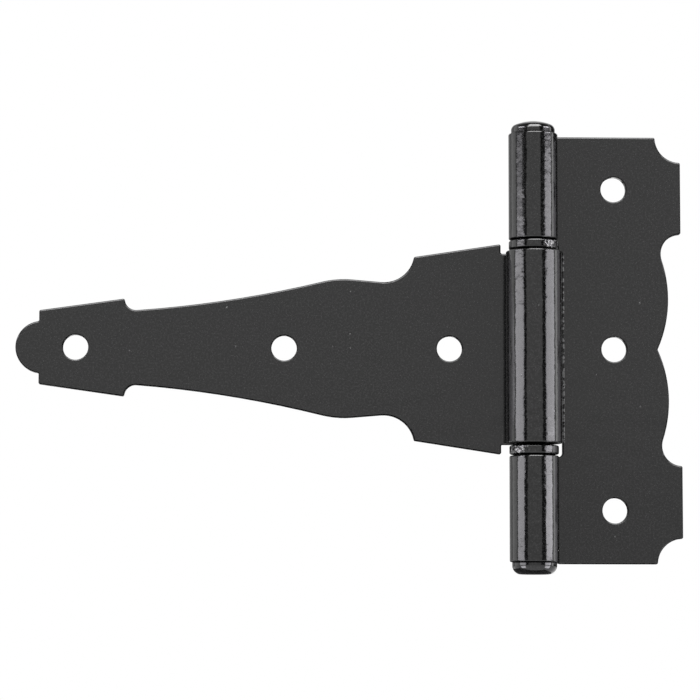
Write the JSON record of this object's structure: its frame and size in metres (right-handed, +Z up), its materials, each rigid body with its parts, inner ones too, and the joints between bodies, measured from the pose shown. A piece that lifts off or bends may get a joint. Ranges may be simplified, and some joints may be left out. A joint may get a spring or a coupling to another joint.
{
  "type": "tee hinge",
  "caption": "Tee hinge of folded black steel: a fixed pad leaf and a long ornamental strap leaf that swings on a riveted pin.",
  "frame": {"origin": "centre of the pad's middle screw hole, on the back plane that both leaves share", "axes": "+Z up along the pin towards its domed head, +X from the pin to the pad's outer edge, so the strap runs to -X, and -Y out of the surface on the barrel's side"},
  "size_m": [0.1967, 0.0164, 0.1337],
  "materials": {
    "sheet_enamel": "glossy black enamel on pressed steel sheet, with a slight orange peel",
    "pin_enamel": "glossy black enamel on turned steel"
  },
  "bodies": {
    "pad": {"pad_leaf": "sheet_enamel", "hinge_pin": "pin_enamel", "upper_washer": "pin_enamel", "lower_washer": "pin_enamel"},
    "strap": {"strap_leaf": "sheet_enamel"}
  },
  "joints": [
    {"name": "strap_swing", "type": "hinge", "parent": "pad", "child": "strap", "pos_m": [-0.02425, -0.00725, 0], "axis": [0, 0, 1], "range_deg": [-100, 191]}
  ]
}
